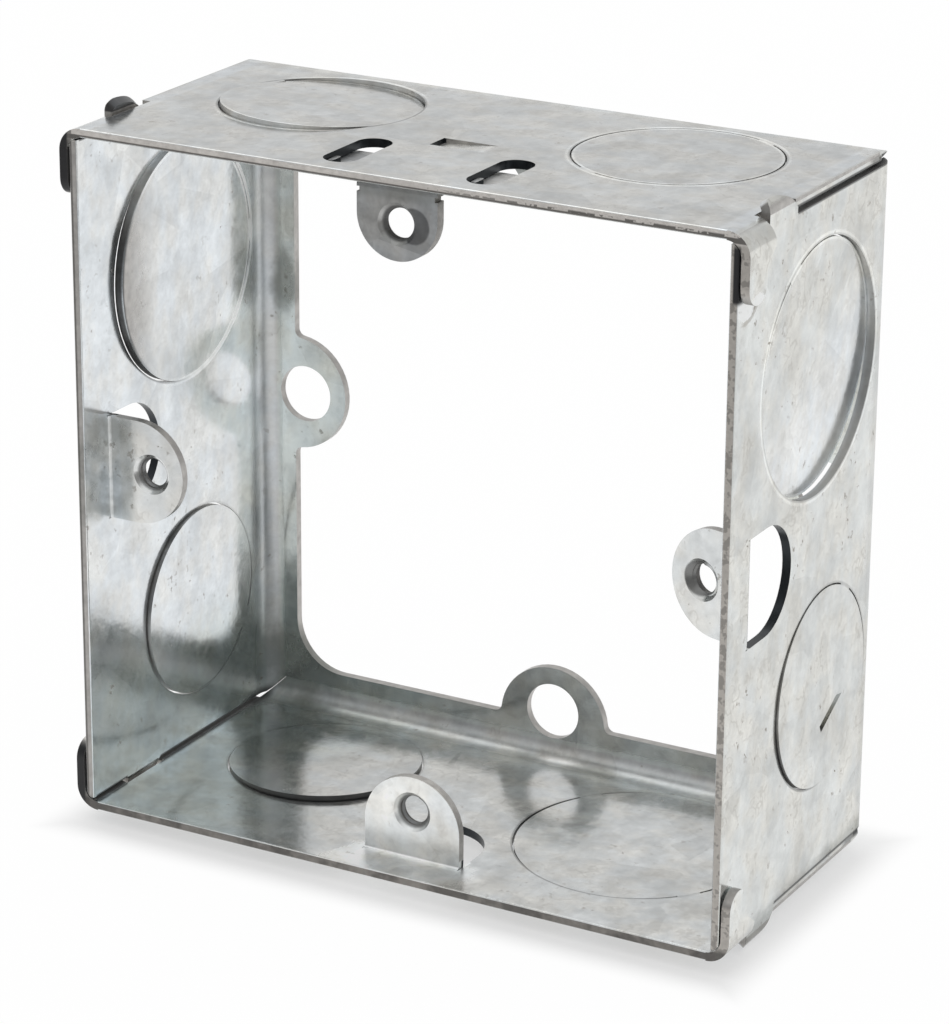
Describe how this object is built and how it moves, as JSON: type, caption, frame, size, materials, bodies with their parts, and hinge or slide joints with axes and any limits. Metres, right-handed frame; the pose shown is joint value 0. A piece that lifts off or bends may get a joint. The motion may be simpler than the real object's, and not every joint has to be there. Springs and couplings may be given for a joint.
{
  "type": "extension back box",
  "caption": "Open square box frame of folded galvanised sheet, with drilled ears on its rear ring, tapped lugs at the front, a sliding top lug and part-sheared knockouts.",
  "frame": {"origin": "centre of the rear face, midway between the four ear holes", "axes": "+Y out of the rear, so the open front faces -Y; +Z towards the wall with the sliding lug; +X to the right seen from the front"},
  "size_m": [0.0742, 0.035, 0.0748],
  "materials": {
    "galvanised_sheet": "bright galvanised, lightly scuffed",
    "galvanised_lug": "galvanised, darker and duller than the sheet"
  },
  "bodies": {
    "frame": {"box": "galvanised_sheet"},
    "lug": {"adjustable_lug": "galvanised_lug"}
  },
  "joints": [
    {"name": "lug_slide", "type": "slide", "parent": "frame", "child": "lug", "axis": [1, 0, 0], "range_m": [0, 0.0028]}
  ]
}
